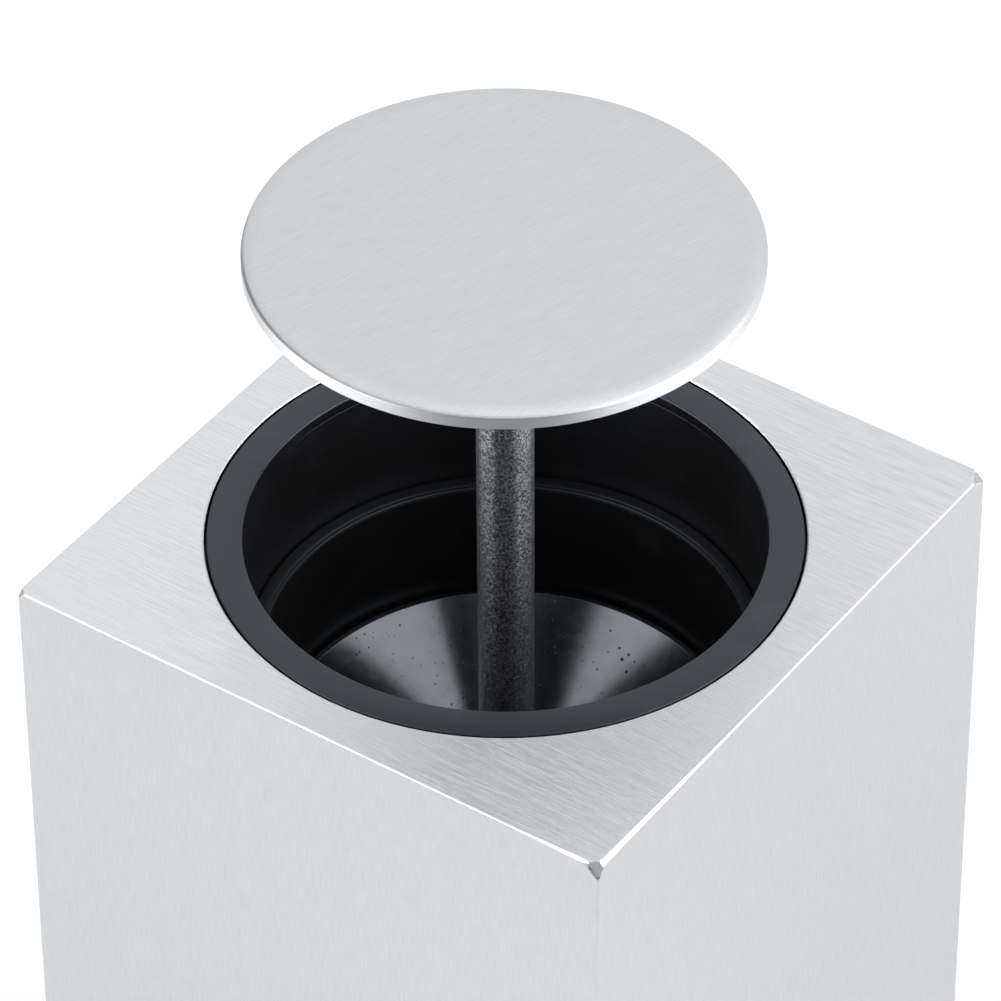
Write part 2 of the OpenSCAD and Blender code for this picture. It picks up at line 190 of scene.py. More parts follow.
def add(tree, kind, sockets=None, **settings):
    """Node of a kind. Its settings come before its sockets, because they decide which sockets it has."""
    made = tree.nodes.new(kind)
    for key, value in settings.items():
        setattr(made, key, value)
    fill(tree, made, sockets or {})
    return made


def new_finish(name):
    """Empty material and its shader; the graph is filled in by the finish that asked for it."""
    material = bpy.data.materials.new(name)
    material.use_nodes = True
    tree = material.node_tree
    return material, tree, tree.nodes["Principled BSDF"]


def wear(piece, *finishes, pick=None):
    """A piece wears one finish all over, or several, where pick gives each face the number of its finish."""
    piece.data.materials.clear()
    for finish in finishes:
        piece.data.materials.append(finish)
    if pick is not None:
        piece.data.polygons.foreach_set("material_index", np.asarray(pick, np.int32))


print("mid grey in linear light:", round(linear("#808080")[0], 3))

# %% [markdown]
# ## Brushed aluminium
# Aluminium sheet is rubbed along one direction with an abrasive belt. The belt leaves fine scratches a
# few hundredths of a millimetre apart, with a heavier one now and then. Across the lines light spreads
# widely and along them it hardly does, so the shader is anisotropic. The lines follow a UV map in
# millimetres called brush, whose first axis runs along the scratches. The filed corners are duller and
# darker, because a file tears the metal and leaves it matt.


# %% Brushed aluminium
def brushed_aluminium(name, colour, pale, line_mm, contrast, roughness, spread, depth_mm=0.01, uneven=0.06,
                      metallic=1.0):
    """Metal with fine lines: one noise stretched along the brush for the scratches, and a slower one for the
    belt's bands. The scratches are drawn at line_mm apart, coarser than real ones, so that they show at this
    distance."""
    stretch, band_scale, band_share = 0.05, (0.012, 0.35, 1), 0.12
    material, tree, shader = new_finish(name)
    brush = add(tree, "ShaderNodeUVMap", uv_map="brush").outputs["UV"]
    fine = add(tree, "ShaderNodeMapping", {
        "Vector": brush, "Scale": (stretch / line_mm, 1 / line_mm, 1)}).outputs[0]
    slow = add(tree, "ShaderNodeMapping", {"Vector": brush, "Scale": band_scale}).outputs[0]
    lines = add(tree, "ShaderNodeTexNoise", {
        "Vector": fine, "Scale": 1, "Detail": 4, "Roughness": 0.7}).outputs[0]
    bands = add(tree, "ShaderNodeTexNoise", {
        "Vector": slow, "Scale": 1, "Detail": 3, "Roughness": 0.6}).outputs[0]
    both = add(tree, "ShaderNodeMix", {"Factor": band_share, "A": lines, "B": bands}).outputs[0]
    tone = add(tree, "ShaderNodeMapRange", {
        "Value": both, "From Min": 0.5 - contrast, "From Max": 0.5 + contrast}).outputs[0]
    colours = add(tree, "ShaderNodeMix", {
        "Factor": tone, "A": linear(colour), "B": linear(pale)}, data_type="RGBA").outputs["Result"]
    gloss = add(tree, "ShaderNodeMapRange", {
        "Value": lines, "From Min": 0.3, "From Max": 0.7,
        "To Min": roughness + uneven, "To Max": roughness - uneven}).outputs[0]
    relief = add(tree, "ShaderNodeBump", {
        "Height": lines, "Strength": 1.0, "Distance": depth_mm * mm}).outputs[0]
    along = add(tree, "ShaderNodeTangent", direction_type="UV_MAP", uv_map="brush").outputs[0]
    fill(tree, shader, {
        "Base Color": colours, "Roughness": gloss, "Normal": relief, "Tangent": along,
        "Metallic": metallic, "Anisotropic": spread, "Anisotropic Rotation": 0.25})
    return material


top_metal = brushed_aluminium(
    "brushed aluminium top", "#d2d3d5", "#dedfe1", line_mm=0.3, contrast=0.16, roughness=0.44, spread=0.42,
    depth_mm=0.08, uneven=0.2)
wall_metal = brushed_aluminium(
    "brushed aluminium wall", "#cacbcd", "#d4d5d7", line_mm=0.14, contrast=0.18, roughness=0.38, spread=0.7)
lid_metal = brushed_aluminium(
    "brushed aluminium lid", "#c2c3c5", "#d0d1d3", line_mm=0.14, contrast=0.15, roughness=0.34, spread=0.7)
filed_metal = brushed_aluminium(
    "filed aluminium corner", "#8c8d90", "#acadb0", line_mm=0.2, contrast=0.2, roughness=0.7, spread=0.0,
    metallic=0.3)
rim_metal = brushed_aluminium(
    "turned aluminium rim", "#cbccce", "#d9dadc", line_mm=0.14, contrast=0.15, roughness=0.46, spread=0.8)
under_metal = brushed_aluminium(
    "turned aluminium underside", "#dfe0e2", "#edeef0", line_mm=0.2, contrast=0.3, roughness=0.3, spread=0.5)
for finish in (top_metal, wall_metal, lid_metal, filed_metal, rim_metal, under_metal):
    print("metal finish:", finish.name)

# %% [markdown]
# ## Black plastics
# The ring, the tube and the cup are moulded in black ABS. Moulds are spark eroded or polished, so the ring
# is satin and the cup glossy, and in use the cup gets pits and rubs from the tips of the picks. The feet
# are rubber, which is the same graph with a dull gloss.

# %% Tint of the gloss on plastic
gloss_tint = linear("#edf4ff")
print("gloss tint in linear light:", [round(c, 3) for c in gloss_tint])


# %% Moulded ABS
def moulded_abs(name, colour, roughness, grain_mm, grain_depth_mm, rubs):
    """Black plastic: fine mould grain in the normal, and slow patches that vary the gloss by rubs. Some of
    the patches are a little dusty."""
    patch_mm, dust, abs_ior = 6, 2.2, 1.53
    material, tree, shader = new_finish(name)
    place = add(tree, "ShaderNodeTexCoord").outputs["Object"]
    grain = add(tree, "ShaderNodeTexNoise", {
        "Vector": place, "Scale": 1 / (grain_mm * mm), "Detail": 3, "Roughness": 0.6}).outputs[0]
    patch = add(tree, "ShaderNodeTexNoise", {
        "Vector": place, "Scale": 1 / (patch_mm * mm), "Detail": 5, "Roughness": 0.65}).outputs[0]
    gloss = add(tree, "ShaderNodeMapRange", {
        "Value": patch, "From Min": 0.3, "From Max": 0.7,
        "To Min": roughness - rubs, "To Max": roughness + rubs}).outputs[0]
    dusty = add(tree, "ShaderNodeMapRange", {"Value": patch, "From Min": 0.55, "From Max": 0.8}).outputs[0]
    colours = add(tree, "ShaderNodeMix", {
        "Factor": dusty, "A": linear(colour), "B": linear(colour, dust)}, data_type="RGBA").outputs["Result"]
    relief = add(tree, "ShaderNodeBump", {
        "Height": grain, "Strength": 0.4, "Distance": grain_depth_mm * mm}).outputs[0]
    fill(tree, shader, {
        "Base Color": colours, "Roughness": gloss, "Normal": relief, "IOR": abs_ior,
        "Specular Tint": gloss_tint})
    return material


ring_abs = moulded_abs(
    "satin black ABS ring", "#1a1e23", roughness=0.36, grain_mm=0.12, grain_depth_mm=0.02, rubs=0.05)
tube_abs = moulded_abs(
    "black ABS tube", "#0e0e0f", roughness=0.42, grain_mm=0.20, grain_depth_mm=0.02, rubs=0.05)
base_abs = moulded_abs(
    "black ABS base", "#161617", roughness=0.50, grain_mm=0.30, grain_depth_mm=0.03, rubs=0.05)
foot_rubber = moulded_abs(
    "black rubber", "#121212", roughness=0.75, grain_mm=0.25, grain_depth_mm=0.05, rubs=0.08)
print("plastic finishes:", ring_abs.name, tube_abs.name, base_abs.name, foot_rubber.name, sep=", ")


# %% Glossy ABS with pits and rubs
def scuffed_gloss_abs(name, colour, roughness, pit_mm):
    """Glossy plastic that is never quite flat: scattered round pits, from a cell pattern kept only near some
    of the cells' centres, and faint rubs."""
    cell_mm, cluster_mm, rub_mm, wave_mm = 3.2 * pit_mm, 5, 1.2, 9
    pit_depth_mm, wave_depth_mm, pit_dullness, polish_ior = 0.06, 0.15, 0.35, 1.7
    material, tree, shader = new_finish(name)
    place = add(tree, "ShaderNodeTexCoord").outputs["Object"]
    cells = add(tree, "ShaderNodeTexVoronoi", {
        "Vector": place, "Scale": 1 / (cell_mm * mm)}).outputs["Distance"]
    cluster = add(tree, "ShaderNodeTexNoise", {
        "Vector": place, "Scale": 1 / (cluster_mm * mm), "Detail": 2}).outputs[0]
    reach = add(tree, "ShaderNodeMapRange", {
        "Value": cluster, "From Min": 0.36, "From Max": 0.7, "To Min": 0.0, "To Max": 0.25}).outputs[0]
    pit = add(tree, "ShaderNodeMath", {0: cells, 1: reach}, operation="LESS_THAN").outputs[0]
    rub = add(tree, "ShaderNodeTexNoise", {
        "Vector": place, "Scale": 1 / (rub_mm * mm), "Detail": 4}).outputs[0]
    gloss = add(tree, "ShaderNodeMapRange", {
        "Value": rub, "From Min": 0.35, "From Max": 0.7,
        "To Min": roughness - 0.01, "To Max": roughness + 0.03}).outputs[0]
    dull = add(tree, "ShaderNodeMath", {
        0: pit, 1: pit_dullness, 2: gloss}, operation="MULTIPLY_ADD").outputs[0]
    wave = add(tree, "ShaderNodeTexNoise", {
        "Vector": place, "Scale": 1 / (wave_mm * mm), "Detail": 1}).outputs[0]
    uneven = add(tree, "ShaderNodeBump", {
        "Height": wave, "Strength": 0.06, "Distance": wave_depth_mm * mm}).outputs[0]
    dents = add(tree, "ShaderNodeBump", {
        "Height": pit, "Strength": 0.6, "Distance": pit_depth_mm * mm, "Normal": uneven},
        invert=True).outputs[0]
    fill(tree, shader, {
        "Base Color": linear(colour), "Roughness": dull, "Normal": dents, "IOR": polish_ior,
        "Specular Tint": gloss_tint})
    return material


cup_abs = scuffed_gloss_abs("glossy black ABS cup", "#0a0a0b", roughness=0.15, pit_mm=0.25)
print("cup finish:", cup_abs.name)

# %% [markdown]
# ## The blackened rod
# The rod is turned steel, blackened in a hot bath that leaves a finely pitted skin. The tool's grooves run
# round the rod, so light spreads up and down it in long stripes, and the skin breaks the stripes into
# specks. A noise of the skin's own size gives the specks, and the shader's anisotropy gives the stripes.


# %% Blackened rod
def blackened_turned_steel(name, colour, pale, grain_mm, roughness):
    """Dark metal with a wide spread of light along the rod. One noise of grain_mm gives the skin's pale tops
    and its relief, and a slower one makes the black uneven."""
    patch_mm, relief_mm, dullness = 2.5, 0.03, 0.05
    material, tree, shader = new_finish(name)
    place = add(tree, "ShaderNodeTexCoord").outputs["Object"]
    pitted = add(tree, "ShaderNodeTexNoise", {
        "Vector": place, "Scale": 1 / (grain_mm * mm), "Detail": 4, "Roughness": 0.6}).outputs[0]
    patch = add(tree, "ShaderNodeTexNoise", {
        "Vector": place, "Scale": 1 / (patch_mm * mm), "Detail": 3}).outputs[0]
    tops = add(tree, "ShaderNodeMapRange", {"Value": pitted, "From Min": 0.42, "From Max": 0.68}).outputs[0]
    even = add(tree, "ShaderNodeMapRange", {"Value": patch, "To Min": 0.05, "To Max": 0.35}).outputs[0]
    tone = add(tree, "ShaderNodeMath", {0: tops, 1: even}, operation="ADD").outputs[0]
    colours = add(tree, "ShaderNodeMix", {
        "Factor": tone, "A": linear(colour), "B": linear(pale)}, data_type="RGBA").outputs["Result"]
    gloss = add(tree, "ShaderNodeMapRange", {
        "Value": tops, "To Min": roughness + dullness, "To Max": roughness}).outputs[0]
    relief = add(tree, "ShaderNodeBump", {
        "Height": pitted, "Strength": 1.0, "Distance": relief_mm * mm}).outputs[0]
    along = add(tree, "ShaderNodeTangent", direction_type="RADIAL", axis="Z").outputs[0]
    fill(tree, shader, {
        "Base Color": colours, "Roughness": gloss, "Normal": relief, "Tangent": along,
        "Metallic": 0.88, "Anisotropic": 0.95, "Anisotropic Rotation": 0.25})
    return material


rod_coat = blackened_turned_steel(
    "blackened turned steel", "#0f1012", "#d2d5dc", grain_mm=0.27, roughness=0.22)
print("rod finish:", rod_coat.name)

# %% [markdown]
# ## Plated and cut metal
# The screws, the pin and the spring are steel with a thin coat of zinc, and the posts are cut from bar.
# Both have a blotchy shine with no direction, so one noise for tone and gloss is enough.


# %% Plated steel
def plated_steel(name, colour, roughness):
    """Plain metal whose tone and gloss vary with a fine, slightly blotchy noise."""
    blotch_mm, dark, uneven = 1.5, 0.8, 0.1
    material, tree, shader = new_finish(name)
    place = add(tree, "ShaderNodeTexCoord").outputs["Object"]
    blotch = add(tree, "ShaderNodeTexNoise", {
        "Vector": place, "Scale": 1 / (blotch_mm * mm), "Detail": 4}).outputs[0]
    gloss = add(tree, "ShaderNodeMapRange", {
        "Value": blotch, "To Min": roughness - uneven, "To Max": roughness + uneven}).outputs[0]
    colours = add(tree, "ShaderNodeMix", {
        "Factor": blotch, "A": linear(colour, dark), "B": linear(colour)},
        data_type="RGBA").outputs["Result"]
    fill(tree, shader, {"Base Color": colours, "Roughness": gloss, "Metallic": 1.0})
    return material


steel = plated_steel("zinc-plated steel", "#c3c5c9", roughness=0.35)
cut_aluminium = plated_steel("cut aluminium bar", "#d6d7d9", roughness=0.4)
print("plain metals:", steel.name, cut_aluminium.name, sep=", ")

# %% [markdown]
# ## The box
# The box is one shell: it goes up the inside of the hole, over the top face, round the top edge, down the
# walls and back up inside. A row of the grid is a loop round the box. Near the hole it is a circle and at
# the walls a square with rounded corners, and on the top face it changes from one to the other. On the
# real box somebody took the sharpness off with a file: the four top corners are cut flat by unequal
# amounts, and the two front edges are filed a little towards the front corner.

# %% Sizes of the box
box_lo, box_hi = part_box("housing")
collar_lo, collar_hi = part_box("collar")
lid_lo, lid_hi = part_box("lid_disc")
half, box_top, skirt = box_hi.x, box_hi.z, box_lo.z
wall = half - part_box("corner_posts")[1].x
lid_gap, ring_width, ring_gap = 0.95 * mm, 3.65 * mm, 0.25 * mm
ring_opening = lid_hi.x + lid_gap
ring_radius = ring_opening + ring_width
hole = ring_radius + ring_gap
print("box half %.2f, wall %.2f, hole radius %.2f mm" % (half / mm, wall / mm, hole / mm))


# %% Box shell
def square_loop(half_side, corner, side_steps=41, corner_steps=9):
    """Square with rounded corners. A quarter is an arc about a corner's centre and the straight side after
    it, and the other three are that quarter turned by right angles. Steps are closer near the corners."""
    a = np.linspace(0, np.pi / 2, corner_steps)
    arc = (half_side - corner) + corner * np.stack([np.cos(a), np.sin(a)], -1)
    s = np.cos(np.linspace(0, np.pi, side_steps + 2)[1:-1]) * (half_side - corner)
    quarter = np.concatenate([arc, np.stack([s, np.full_like(s, half_side)], -1)])
    turns = np.arange(4) * np.pi / 2
    cos, sin = np.cos(turns), np.sin(turns)
    spin = np.stack([np.stack([cos, -sin], -1), np.stack([sin, cos], -1)], 1)
    return np.einsum("qij,nj->qni", spin, quarter).reshape(-1, 2)


def shell_rows(share, circle, half_side, height):
    """Rows of (share of square, circle radius, half side, height), each given once or row by row."""
    return np.stack(np.broadcast_arrays(share, circle, half_side, height), -1)


def shell_outline(edge, lip):
    """Rows along the shell: hole and lip, top face, edge and wall, foot, inner wall and ceiling. Rows lie
    close together near the top edge, where the corners are filed."""
    run, crease, foot_out, foot_in = 6 * mm, 0.05 * mm, 0.3 * mm, 0.2 * mm
    near = np.array([3.0, 2.4, 2.0, 1.8, 1.6, 1.4, 1.2, 1.1, 1.0, 0.9, 0.8, 0.7, 0.6, 0.5, 0.42, 0.34, 0.28])
    near = near * mm
    mouth = filleted([[hole, box_top - wall], [hole, box_top - lip], [hole + lip, box_top],
                      [hole + 3 * lip, box_top]], [0, crease, crease, 0], False, 4)
    bend = filleted([[half - run, box_top], [half, box_top], [half, box_top - run]], [0, edge, 0], False, 9)
    foot = filleted([[half, skirt + run], [half, skirt], [half - wall, skirt], [half - wall, skirt + run]],
                    [0, foot_out, foot_in, 0], False, 5)
    top_share, ceiling_share = np.linspace(0, 1, 15)[1:-1], np.linspace(1, 0, 8)[:-1]
    top_square = half - 4 * mm
    return np.concatenate([
        shell_rows(0, mouth[:, 0], half, mouth[:, 1]),
        shell_rows(top_share, mouth[-1, 0], top_square, box_top),
        shell_rows(1, hole, half - near, box_top),
        shell_rows(1, hole, bend[1:-1, 0], bend[1:-1, 1]),
        shell_rows(1, hole, half, box_top - near[::-1]),
        shell_rows(1, hole, bend[-1:, 0], bend[-1:, 1]),
        shell_rows(1, hole, foot[:, 0], foot[:, 1]),
        shell_rows(ceiling_share, hole, half - wall, box_top - wall),
    ])


def box_shell(edge, corner, lip):
    """Points of a row lie its share of the way from a circle to a square with rounded corners, at its
    height. The corner's radius shrinks with the row's distance in from the wall, down to a least radius."""
    least = 0.15 * mm
    share, circle, half_side, height = shell_outline(edge, lip).T
    inset = half - half_side
    radius = np.where(inset < wall / 2, np.maximum(corner - inset, least), least)
    squares = np.stack([square_loop(h, c) for h, c in zip(half_side, radius)])
    angle = np.arctan2(squares[..., 1], squares[..., 0])
    circles = circle[:, None, None] * np.stack([np.cos(angle), np.sin(angle)], -1)
    flat = circles + share[:, None, None] * (squares - circles)
    heights = np.broadcast_to(height[:, None, None], (*flat.shape[:2], 1))
    points = np.concatenate([flat, heights], -1)
    return points.reshape(-1, 3), grid_faces(len(flat), flat.shape[1], True, True)[:, ::-1]


def file_flat(points, cuts):
    """Points past a plane move straight back onto it. A cut names a top corner by its sides of X and Y, and
    its plane meets the corner's three edges at three distances in mm. Also says which points were moved."""
    moved = np.zeros(len(points), bool)
    for side_x, side_y, *reach in cuts:
        side, slope = np.array([side_x, side_y, 1]), 1 / (np.array(reach) * mm)
        past = 1 - (np.array([half, half, box_top]) - points * side) @ slope
        points = points - side * slope * np.maximum(past, 0)[:, None] / (slope**2).sum()
        moved |= past > 0
    return points, moved


box_edge, box_corner, hole_lip = 0.22 * mm, 0.35 * mm, 0.15 * mm
edge_cuts = [(1, -1, 0.45, 30, 0.45), (1, -1, 14, 0.36, 0.32)]
corner_cuts = [(1, -1, 1.6, 1.2, 1.8), (1, 1, 1.3, 2.6, 1.3), (-1, -1, 1, 1, 1), (-1, 1, 1, 1, 1)]
shell_points, shell_faces = box_shell(box_edge, box_corner, hole_lip)
shell_points, filed = file_flat(file_flat(shell_points, edge_cuts)[0], corner_cuts)
box_piece = make_piece("housing_shell", shell_points, shell_faces, "body", "housing", "brushed_metal",
                       sharp=30)

# %% [markdown]
# ## The way the brush ran
# On the box's top the scratches run parallel to one pair of sides, and on the walls they run up and down.
# On the lid they run askew, because the lid was screwed on wherever its thread stopped. Each piece gets a
# UV map in millimetres, with its first axis along the scratches.


# %% Brush maps
def face_normals(piece):
    """Normals of a piece's faces, one row for each face."""
    normals = np.empty(len(piece.data.polygons) * 3)
    piece.data.polygons.foreach_get("normal", normals)
    return normals.reshape(-1, 3)


def brush_map(piece, top_turn, wall_upright):
    """UV in mm. On faces that look up or down it is the plan turned by top_turn, so u runs along the
    scratches. On other faces u is the height and v the distance across, or the other way about where the
    scratches run round."""
    mesh = piece.data
    corner = np.empty(len(mesh.loops), int)
    mesh.loops.foreach_get("vertex_index", corner)
    points = np.empty(len(mesh.vertices) * 3)
    mesh.vertices.foreach_get("co", points)
    p = points.reshape(-1, 3)[corner] / mm
    total = np.empty(len(mesh.polygons), int)
    mesh.polygons.foreach_get("loop_total", total)
    n = np.abs(np.repeat(face_normals(piece), total, 0))
    c, s = np.cos(top_turn), np.sin(top_turn)
    plan = np.column_stack([c * p[:, 0] + s * p[:, 1], c * p[:, 1] - s * p[:, 0]])
    across = np.where(n[:, 0] > n[:, 1], p[:, 1], p[:, 0])
    upright = np.column_stack([p[:, 2], across] if wall_upright else [across, p[:, 2]])
    uv = np.where(n[:, 2:] > 0.5, plan, upright)
    mesh.uv_layers.new(name="brush").uv.foreach_set("vector", uv.ravel())
    print("brush map on", piece.name)


brush_map(box_piece, top_turn=0.0, wall_upright=True)
filed_faces = filed[shell_faces].all(1)
wall_faces = np.abs(face_normals(box_piece)[:, 2]) < 0.5
wear(box_piece, top_metal, wall_metal, filed_metal, pick=np.where(filed_faces, 2, wall_faces))
print("filed faces on the box:", filed_faces.sum())

# %% [markdown]
# ## The lid
# The lid is a turned disc. Its face rolls over gently near the rim, along a short arc of a large circle,
# then a small chamfer leads to the upright rim. The roll was brushed with the face, so it keeps the same
# finish, while the rim and the underside show the lathe's lines. In the photograph the disc is a little
# thinner and wider than its solid, and the piece follows the photograph.

# %% Lid
rim_wider, face_lower, under_higher = 0.1 * mm, 0.5 * mm, 0.25 * mm
lid_radius, lid_face, lid_under = lid_hi.x + rim_wider, lid_hi.z - face_lower, lid_lo.z + under_higher
roll_width, roll_end = 1.5 * mm, np.radians(21)
rim_cut, cut_slope, rim_round, under_round = 0.25 * mm, np.radians(34), 0.06 * mm, 0.12 * mm
roll_radius = roll_width / np.sin(roll_end)
roll_angle = np.linspace(roll_end, 0, 16)
lid_roll = np.column_stack([lid_radius - rim_cut - roll_width + roll_radius * np.sin(roll_angle),
                            lid_face - roll_radius * (1 - np.cos(roll_angle))])
rim_top = lid_roll[0, 1] - rim_cut * np.tan(cut_slope)
round_steps = 6
lid_side = filleted([[0, lid_under], [lid_radius, lid_under], [lid_radius, rim_top], lid_roll[0]],
                    [0, under_round, rim_round, 0], False, round_steps)
lid_foot, lid_shoulder = np.split(lid_side, [1 + round_steps])
# rows beside the rounds keep their smooth shading off the flat parts
rim_row_low, rim_row_high, face_row, face_middle = 0.17 * mm, 0.1 * mm, 0.05 * mm, 12 * mm
upright_rows = np.array([[lid_radius, lid_under + rim_row_low], [lid_radius, rim_top - rim_row_high]])
flat_rows = np.array([[r, lid_face] for r in (lid_roll[-1, 0] - face_row, face_middle, 0)])
lid_outline = np.concatenate([lid_foot, upright_rows, lid_shoulder, lid_roll[1:], flat_rows])
lid_piece = make_piece("lid_top", *turned_solid(lid_outline, 360), "plunger", "lid_disc", "brushed_metal")
brush_map(lid_piece, top_turn=np.radians(71), wall_upright=False)
lid_up = face_normals(lid_piece)[:, 2]
wear(lid_piece, lid_metal, rim_metal, under_metal, pick=np.where(lid_up < -0.5, 2, np.abs(lid_up) < 0.5))

# %% [markdown]
# ## The ring
# The ring's face lies just under the metal, and its inner edge is only just broken. A little way down the
# opening a hairline groove runs round, where the two halves of the mould met. Each of these edges is a thin
# line of light in the black, so the outline has a corner for every one of them.

# %% Ring and sleeve
lip_depth, lip_width, sleeve_wall, flange_depth = 1.4 * mm, 0.1 * mm, 1.8 * mm, 2 * mm
groove_width, groove_depth, groove_lean, flange_gap = 0.14 * mm, 0.1 * mm, 0.3, 0.05 * mm
sleeve_foot, flange, ring_top = collar_lo.z, collar_hi.x, collar_hi.z
flange_top = box_top - wall - flange_gap
flange_foot = flange_top - flange_depth
sleeve = ring_opening + lip_width
lip_foot = box_top - lip_depth
ring_outline = filleted(
    [[sleeve, sleeve_foot], [sleeve + sleeve_wall, sleeve_foot], [sleeve + sleeve_wall, flange_foot],
     [flange, flange_foot], [flange, flange_top], [ring_radius, flange_top], [ring_radius, ring_top],
     [ring_opening, ring_top], [ring_opening, lip_foot],
     [sleeve + groove_depth, lip_foot - groove_lean * groove_width], [sleeve, lip_foot - groove_width]],
    np.array([0.2, 0.2, 0.2, 0.2, 0.1, 0.04, 0.15, 0.25, 0.03, 0.03, 0.05]) * mm, True)
ring_piece = make_piece("ring_collar", *turned(ring_outline), "body", "collar", "black_plastic")
# The ring's upright faces wear the tube's finish. Its darker colour there is painted shade on the walls down
# the opening, and its rougher grain is the bore's own.
wear(ring_piece, ring_abs, tube_abs, pick=np.abs(face_normals(ring_piece)[:, 2]) < 0.1)

# %% [markdown]
# ## The tube
# Under the sleeve sits the tube that guides the cup. Its top is a narrow flat ledge with a small step before
# the bore, and the bore's edge is broken, which gives two thin lines close together. Low down the tube is
# slotted for the latch, so the upper part is a full turn and the lower part stops at the slot's two flat
# faces.

# %% Tube above the slot
tube_lo, tube_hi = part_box("magazine_tube")
bore, step_width, step_depth, bore_break = 24.6 * mm, 0.5 * mm, 0.15 * mm, 0.12 * mm
neck_play, neck_gap, lower_wall, slot_top, shoulder = 0.2 * mm, 0.05 * mm, 1.7 * mm, 68.7 * mm, 66.4 * mm
neck, neck_foot, wide_bore = sleeve - neck_play, sleeve_foot - neck_gap, tube_hi.x - lower_wall
step = tube_hi.z - step_depth
tube_outline = filleted(
    [[bore, slot_top], [tube_hi.x, slot_top], [tube_hi.x, neck_foot], [neck, neck_foot], [neck, tube_hi.z],
     [bore + step_width, tube_hi.z], [bore + step_width, step], [bore + bore_break, step],
     [bore, step - 3 * bore_break]],
    np.array([0.02, 0.02, 0.2, 0.1, 0.05, 0.06, 0.02, 0.1, 0.1]) * mm, True)
tube_piece = make_piece("tube_bore", *turned(tube_outline), "body", "magazine_tube", "black_plastic")
wear(tube_piece, tube_abs)


# %% Tube beside the slot
def turned_to_slot(outline, slot_half, slot_way, steps=240):
    """Closed outline carried round the Z axis from one face of a slot to the other. At radius r the angle
    starts and ends asin(slot_half / r) from the slot's middle, so both end faces are flat and parallel, and
    two caps close them."""
    r, z = outline[:, :1], outline[:, 1:]
    edge = np.arcsin(slot_half / r)
    a = slot_way + edge + (2 * np.pi - 2 * edge) * np.linspace(0, 1, steps)
    points = np.stack([r * np.cos(a), r * np.sin(a), np.broadcast_to(z, a.shape)], -1)
    k = np.arange(len(outline)) * steps
    faces = grid_faces(len(outline), steps, True, False).tolist()
    return points.reshape(-1, 3), [*faces, k.tolist(), (k + steps - 1)[::-1].tolist()]


slot_half, slot_way = 6.9 * mm, np.radians(-45)
slotted_outline = np.array([[wide_bore, tube_lo.z], [tube_hi.x, tube_lo.z], [tube_hi.x, slot_top],
                            [bore, slot_top], [bore, shoulder], [wide_bore, shoulder]])
slotted_piece = make_piece("tube_slotted", *turned_to_slot(slotted_outline, slot_half, slot_way), "body",
                           "magazine_tube", "black_plastic")
wear(slotted_piece, tube_abs)

# %% [markdown]
# ## The rod and the cup
# The rod is a plain bar, so a turned outline with broken ends is enough, and its grain comes from the
# finish. The cup is one outline as well: rim, conical floor, seat of the rod, hub, spring seat, skirt and
# stop flange. Its tongue reaches through the tube's slot to the latch, and is a small block of its own.

# %% Rod
rod_lo, rod_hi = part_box("rod")
rod_outline = filleted([[0, rod_lo.z], [rod_hi.x, rod_lo.z], [rod_hi.x, lid_under], [0, lid_under]],
                       [0, 0.3 * mm, 0.15 * mm, 0], False)
rod_piece = make_piece("rod_bar", *turned_solid(rod_outline, 96), "plunger", "rod", "rod_coat")
wear(rod_piece, rod_coat)

# %% Cup
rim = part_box("lifter")[1].z
cup_play, cup_wall, rim_flat, floor_radius, cup_angle = 0.3 * mm, 2.2 * mm, 0.8 * mm, 6 * mm, np.radians(44)
cup_radius = bore - cup_play
rim_radius = cup_radius - rim_flat
slope, shell = np.tan(cup_angle), cup_wall / np.cos(cup_angle)
floor = rim - (rim_radius - floor_radius) * slope
hub_radius, hub_floor, screw_hole, rod_play = 7.2 * mm, 2 * mm, 2.15 * mm, 0.05 * mm
hub_foot, rod_fit = rod_lo.z - hub_floor, rod_hi.x + rod_play
skirt_wall, spring_play, seat_play, wire_radius = 1.7 * mm, 1.5 * mm, 0.4 * mm, 0.7 * mm
skirt_inner = cup_radius - skirt_wall
spring_radius = skirt_inner - spring_play - wire_radius
spring_seat = rim - shell - (rim_radius - spring_radius + wire_radius + seat_play) * slope
stop_play, stop_drop, foot_drop = 0.4 * mm, 9.7 * mm, 12.9 * mm
stop_radius, stop_top, stop_foot = wide_bore - stop_play, rim - stop_drop, rim - foot_drop
seat_radius = rim_radius - (rim - shell - spring_seat) / slope
hub_top = rim - shell - (rim_radius - hub_radius) * slope
cup_outline = filleted(
    [[rod_fit, floor], [floor_radius, floor], [rim_radius, rim], [cup_radius, rim], [cup_radius, stop_top],
     [stop_radius, stop_top], [stop_radius, stop_foot], [skirt_inner, stop_foot], [skirt_inner, spring_seat],
     [seat_radius, spring_seat], [hub_radius, hub_top], [hub_radius, hub_foot], [screw_hole, hub_foot],
     [screw_hole, rod_lo.z], [rod_fit, rod_lo.z]],
    np.array([0.05, 1.2, 0.15, 0.25, 0.2, 0.2, 0.2, 0.2, 0.3, 0.3, 0.3, 0.2, 0.1, 0.05, 0.05]) * mm, True, 8)
cup_points, cup_faces = turned(cup_outline, 360)
cup_piece = make_piece("cup", cup_points, cup_faces[:, ::-1], "plunger", "lifter", "cup_plastic", sharp=40)
wear(cup_piece, cup_abs)


